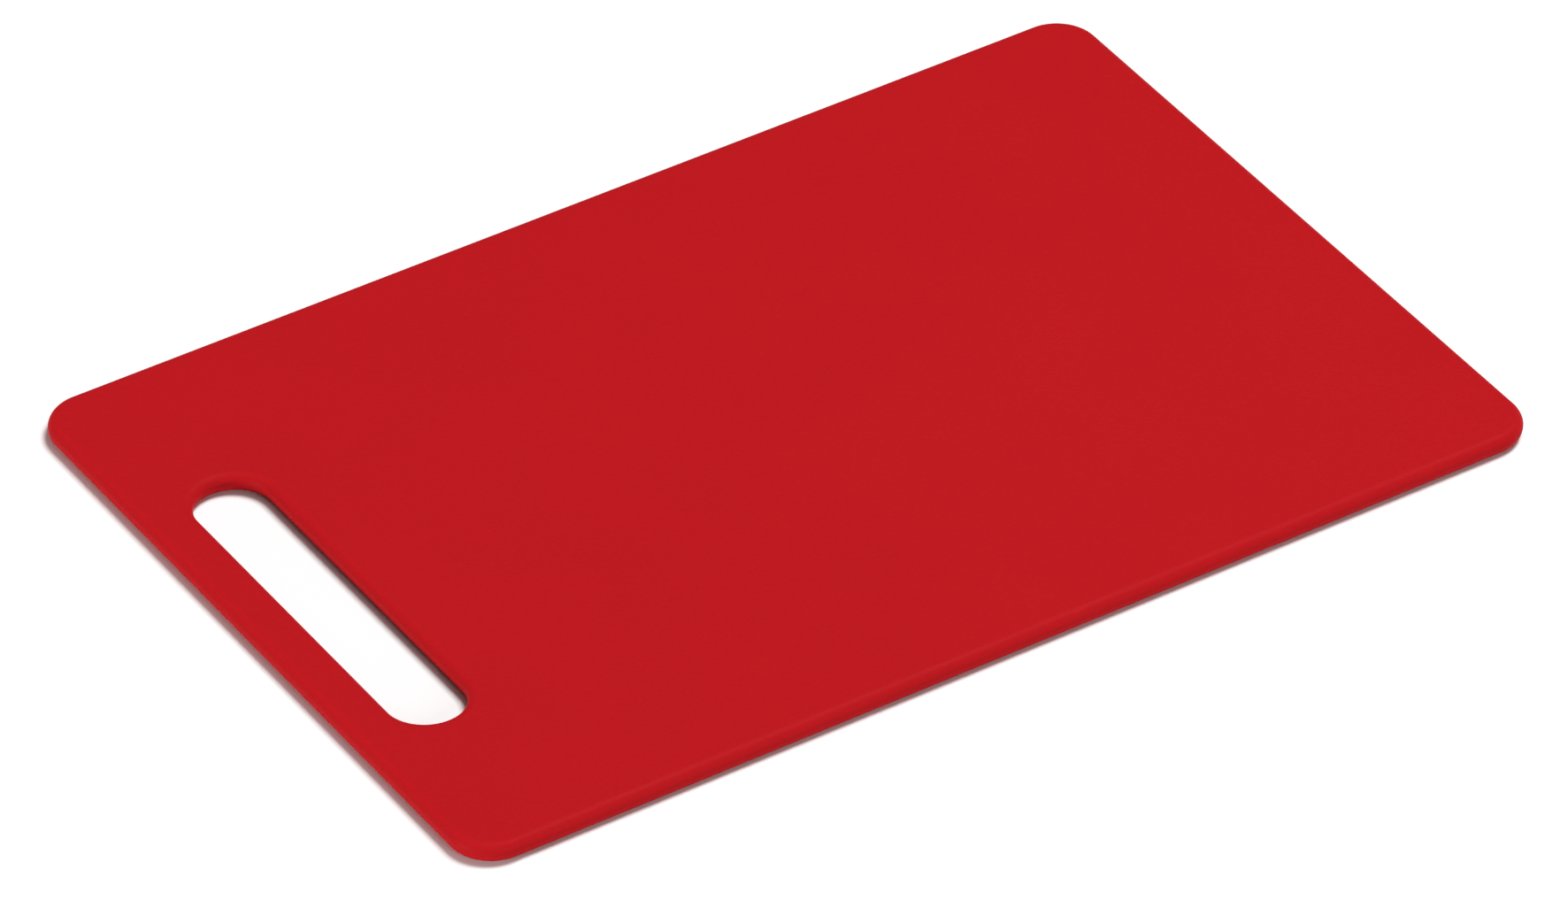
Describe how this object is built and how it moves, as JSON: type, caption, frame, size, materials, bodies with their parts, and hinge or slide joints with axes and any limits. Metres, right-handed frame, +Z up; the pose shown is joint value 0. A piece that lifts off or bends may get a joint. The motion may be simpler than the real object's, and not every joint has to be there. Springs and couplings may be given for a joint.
{
  "type": "cutting board",
  "caption": "Thin rectangular moulded plastic cutting board with rounded corners, full-round edges and a long grip slot across one end.",
  "frame": {"origin": "middle of the underside, on the surface the board lies on", "axes": "+X along the board's length, away from the grip slot; +Y across its width; +Z up, out of the cutting face"},
  "size_m": [0.29, 0.195, 0.005],
  "materials": {
    "red_plastic": "matte"
  },
  "bodies": {
    "root": {"board": "red_plastic"}
  },
  "joints": []
}
